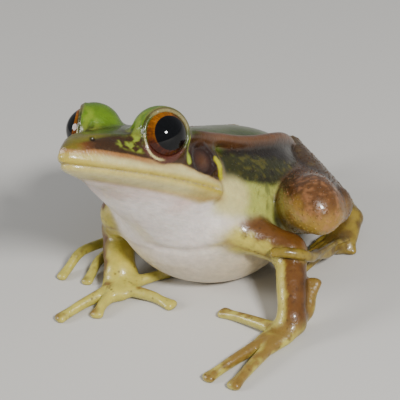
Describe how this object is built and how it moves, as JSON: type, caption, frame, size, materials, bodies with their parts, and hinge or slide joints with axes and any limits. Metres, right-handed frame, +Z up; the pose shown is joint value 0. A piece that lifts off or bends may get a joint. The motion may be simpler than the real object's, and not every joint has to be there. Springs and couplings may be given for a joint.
{
  "type": "green paddy frog",
  "caption": "Life-size still model of a green paddy frog sitting alert with its chest raised and its hind legs folded at its sides.",
  "frame": {"origin": "centre of the model's footprint box, on the floor plane it rests on", "axes": "+Z up, the frog faces -Y, and +X is the frog's own left side"},
  "size_m": [0.0494, 0.051, 0.0339],
  "materials": {
    "skin_green": "wet gloss",
    "skin_pale": "wet gloss",
    "skin_brown": "wet gloss",
    "skin_olive": "wet gloss",
    "skin_yellow": "wet gloss",
    "eye": "polished",
    "eardrum": "wet gloss"
  },
  "bodies": {
    "root": {"head": "skin_green", "lower_jaw": "skin_pale", "eye_left": "eye", "eye_right": "eye", "eardrum_left": "eardrum", "eardrum_right": "eardrum", "torso": "skin_green", "upper_arm_left": "skin_brown", "upper_arm_right": "skin_brown", "forearm_left": "skin_brown", "forearm_right": "skin_brown", "hand_left": "skin_yellow", "hand_right": "skin_yellow", "thigh_left": "skin_brown", "thigh_right": "skin_brown", "shank_left": "skin_brown", "shank_right": "skin_brown", "tarsus_left": "skin_olive", "tarsus_right": "skin_olive", "foot_left": "skin_olive", "foot_right": "skin_olive"}
  },
  "joints": []
}
